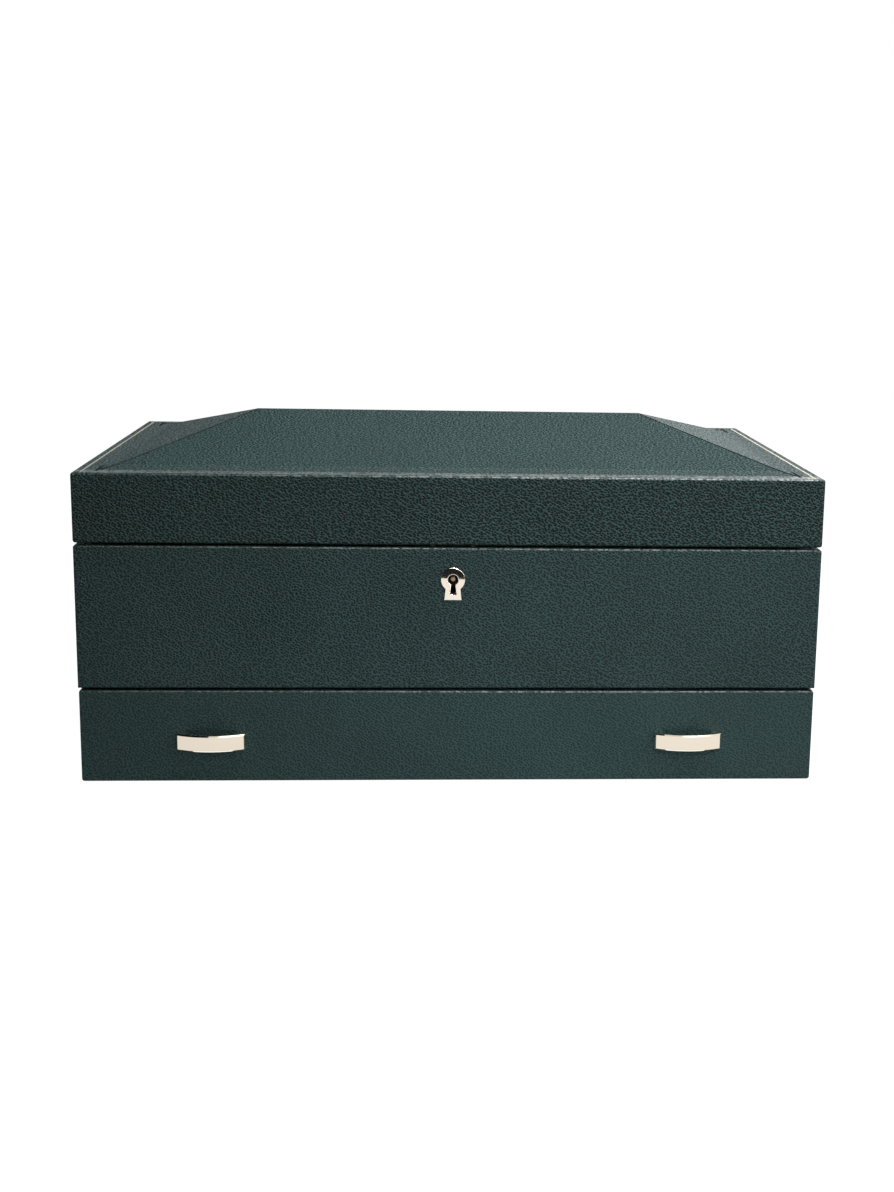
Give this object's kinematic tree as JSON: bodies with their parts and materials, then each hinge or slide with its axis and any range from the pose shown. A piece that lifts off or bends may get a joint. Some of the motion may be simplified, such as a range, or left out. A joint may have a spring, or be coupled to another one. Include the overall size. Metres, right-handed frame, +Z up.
{
  "type": "watch box with drawer",
  "caption": "Leather-covered watch box with a hip-roofed hinged lid over divided cushioned cells and a full-width drawer below, with a till lock and bowed pulls.",
  "frame": {"origin": "on the table, at the middle of the footprint of the whole box with its pulls and hinges", "axes": "+X to the right along the length of the box, +Y from the drawer front to the hinges, +Z up"},
  "size_m": [0.33, 0.2275, 0.1581],
  "materials": {
    "green_leather": "pebble grain, satin",
    "stained_board": "stained dark, matt",
    "suede_lining": "short nap suede",
    "suede_cushion": "short nap suede",
    "felt": "matt felt",
    "pale_gold": "polished pale gold plating",
    "gilt_foil": "tooled gilt line",
    "brass": "satin",
    "dark_brass": "aged"
  },
  "bodies": {
    "case": {"case_base_board": "stained_board", "base_felt": "felt", "left_case_side": "stained_board", "right_case_side": "stained_board", "case_back_panel": "stained_board", "case_front_panel": "stained_board", "case_shelf": "stained_board", "case_leather": "green_leather", "bay_liner": "suede_lining", "bay_floor_pad": "suede_lining", "bay_long_divider": "suede_lining", "bay_cross_dividers": "suede_lining", "watch_cushion_01": "suede_cushion", "watch_cushion_02": "suede_cushion", "watch_cushion_03": "suede_cushion", "watch_cushion_04": "suede_cushion", "watch_cushion_05": "suede_cushion", "watch_cushion_06": "suede_cushion", "watch_cushion_07": "suede_cushion", "watch_cushion_08": "suede_cushion", "watch_cushion_09": "suede_cushion", "watch_cushion_10": "suede_cushion", "watch_cushion_11": "suede_cushion", "watch_cushion_12": "suede_cushion", "left_drawer_runner": "stained_board", "right_drawer_runner": "stained_board", "drawer_stop": "stained_board", "keyhole_escutcheon": "pale_gold", "lock_case": "brass", "lock_drill_pin": "dark_brass", "case_screws": "brass", "left_hinge_case_leaf": "brass", "right_hinge_case_leaf": "brass", "hinge_pins": "brass"},
    "lid": {"lid_front_rail": "stained_board", "lid_back_rail": "stained_board", "lid_left_rail": "stained_board", "lid_right_rail": "stained_board", "lid_roof_board": "stained_board", "lid_leather": "green_leather", "lid_gilt_line": "gilt_foil", "lid_lining_pad": "suede_lining", "lid_side_lining": "suede_lining", "left_hinge_lid_leaf": "brass", "right_hinge_lid_leaf": "brass", "lid_screws": "brass", "lock_strike": "brass"},
    "drawer": {"drawer_front": "stained_board", "drawer_front_leather": "green_leather", "left_drawer_side": "stained_board", "right_drawer_side": "stained_board", "drawer_back": "stained_board", "drawer_bottom": "stained_board", "drawer_floor_pad": "suede_lining", "drawer_dividers": "suede_lining", "left_pull": "pale_gold", "right_pull": "pale_gold", "pull_screws": "brass"},
    "bolt": {"lock_bolt": "brass"}
  },
  "joints": [
    {"name": "lid_hinge", "type": "hinge", "parent": "case", "child": "lid", "pos_m": [0, 0.11175, 0.1086], "axis": [-1, 0, 0], "range_deg": [0, 95]},
    {"name": "drawer_slide", "type": "slide", "parent": "case", "child": "drawer", "axis": [0, -1, 0], "range_m": [0, 0.15]},
    {"name": "lock_bolt_slide", "type": "slide", "parent": "case", "child": "bolt", "axis": [1, 0, 0], "range_m": [0, 0.0045]}
  ]
}
